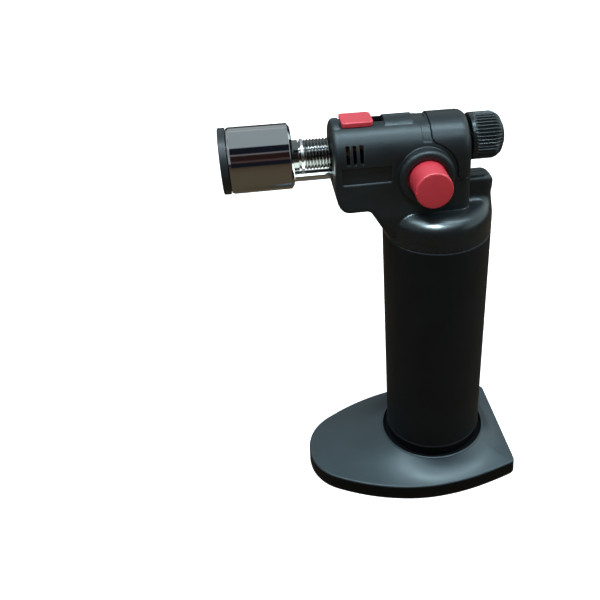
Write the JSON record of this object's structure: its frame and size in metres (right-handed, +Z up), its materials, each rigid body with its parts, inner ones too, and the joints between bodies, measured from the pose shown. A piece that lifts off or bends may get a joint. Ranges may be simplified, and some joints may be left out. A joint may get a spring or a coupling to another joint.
{
  "type": "butane torch",
  "caption": "Hand-held butane torch on a lift-off stand, with a chrome flame guard, side ignition button, gas knob, flame lock slider and refillable tank.",
  "frame": {"origin": "underside of the stand, on the axis of the fuel tank", "axes": "+Z up along the tank, -X the way the flame points, -Y the side of the ignition button"},
  "size_m": [0.1145, 0.0676, 0.1694],
  "materials": {
    "housing_plastic": "satin black moulded plastic",
    "stand_plastic": "satin black moulded plastic",
    "tank_plastic": "fine matte black",
    "knob_plastic": "glossy black",
    "ring_plastic": "black heat-resistant",
    "inner_plastic": "plain black moulding",
    "natural_plastic": "natural white",
    "red_plastic": "satin red",
    "guard_chrome": "mirror",
    "dark_chrome": "heat-darkened mirror",
    "steel": "plain bright",
    "brass": "turned",
    "seal_rubber": "matte",
    "wire_rubber": "matte",
    "white_ceramic": "unglazed"
  },
  "bodies": {
    "stand": {"stand_shell": "stand_plastic", "stand_bottom_plate": "inner_plastic", "stand_screw_1": "steel", "stand_screw_2": "steel", "stand_screw_3": "steel"},
    "torch": {"tank_shell": "tank_plastic", "tank_lid": "inner_plastic", "tank_lid_seal": "seal_rubber", "tank_valve_body": "brass", "tank_valve_spring": "steel", "dip_tube": "natural_plastic", "refill_valve_body": "brass", "refill_valve_spring": "steel", "refill_valve_nut": "brass", "housing_left": "housing_plastic", "housing_right": "housing_plastic", "rear_cover": "housing_plastic", "housing_screw_1": "steel", "housing_screw_2": "steel", "housing_screw_3": "steel", "button_spring": "steel", "piezo_body": "knob_plastic", "lever_pin": "steel", "spindle_seal": "seal_rubber", "gas_valve_body": "brass", "gas_feed_pipe": "brass", "gas_jet_pipe": "brass", "igniter_wire": "wire_rubber", "burner_tube": "dark_chrome", "gas_jet": "brass", "burner_head": "steel", "flame_holder": "white_ceramic", "guard_nut": "dark_chrome", "guard_washer": "steel", "flame_guard": "guard_chrome", "guard_front_ring": "ring_plastic", "igniter_tube": "guard_chrome", "electrode_insulator": "white_ceramic", "electrode_pin": "steel"},
    "refill_stem": {"refill_valve_stem": "steel"},
    "tank_stem": {"tank_valve_stem": "steel"},
    "lever": {"valve_lever": "steel"},
    "button": {"ignition_button": "red_plastic", "piezo_plunger": "natural_plastic"},
    "flame_lock": {"lock_slider": "red_plastic"},
    "knob": {"gas_knob": "knob_plastic", "gas_valve_spindle": "brass"}
  },
  "joints": [
    {"name": "torch_lift_off", "type": "slide", "parent": "stand", "child": "torch", "axis": [0, 0, 1], "range_m": [0, 0.025]},
    {"name": "button_press", "type": "slide", "parent": "torch", "child": "button", "axis": [0, 1, 0], "range_m": [0, 0.003], "stiffness_N_per_m": 1500, "deforming": ["button_spring"]},
    {"name": "lever_turn", "type": "hinge", "parent": "torch", "child": "lever", "pos_m": [0, -0.0065, 0.135], "axis": [-1, 0, 0], "range_deg": [0, 21]},
    {"name": "tank_valve_press", "type": "slide", "parent": "torch", "child": "tank_stem", "axis": [0, 0, -1], "range_m": [0, 0.0026], "deforming": ["tank_valve_spring"]},
    {"name": "flame_lock_slide", "type": "slide", "parent": "torch", "child": "flame_lock", "axis": [1, 0, 0], "range_m": [0, 0.0037]},
    {"name": "gas_knob_turn", "type": "hinge", "parent": "torch", "child": "knob", "pos_m": [0.0179, 0, 0.1585], "axis": [1, 0, 0], "range_deg": [-180, 90]},
    {"name": "refill_valve_press", "type": "slide", "parent": "torch", "child": "refill_stem", "axis": [0, 0, 1], "range_m": [0, 0.0015], "stiffness_N_per_m": 800, "deforming": ["refill_valve_spring"]}
  ],
  "couplings": [
    {"joint": "lever_turn", "follows": "button_press", "rad_per_m": 122},
    {"joint": "tank_valve_press", "follows": "button_press", "ratio": 0.82}
  ]
}
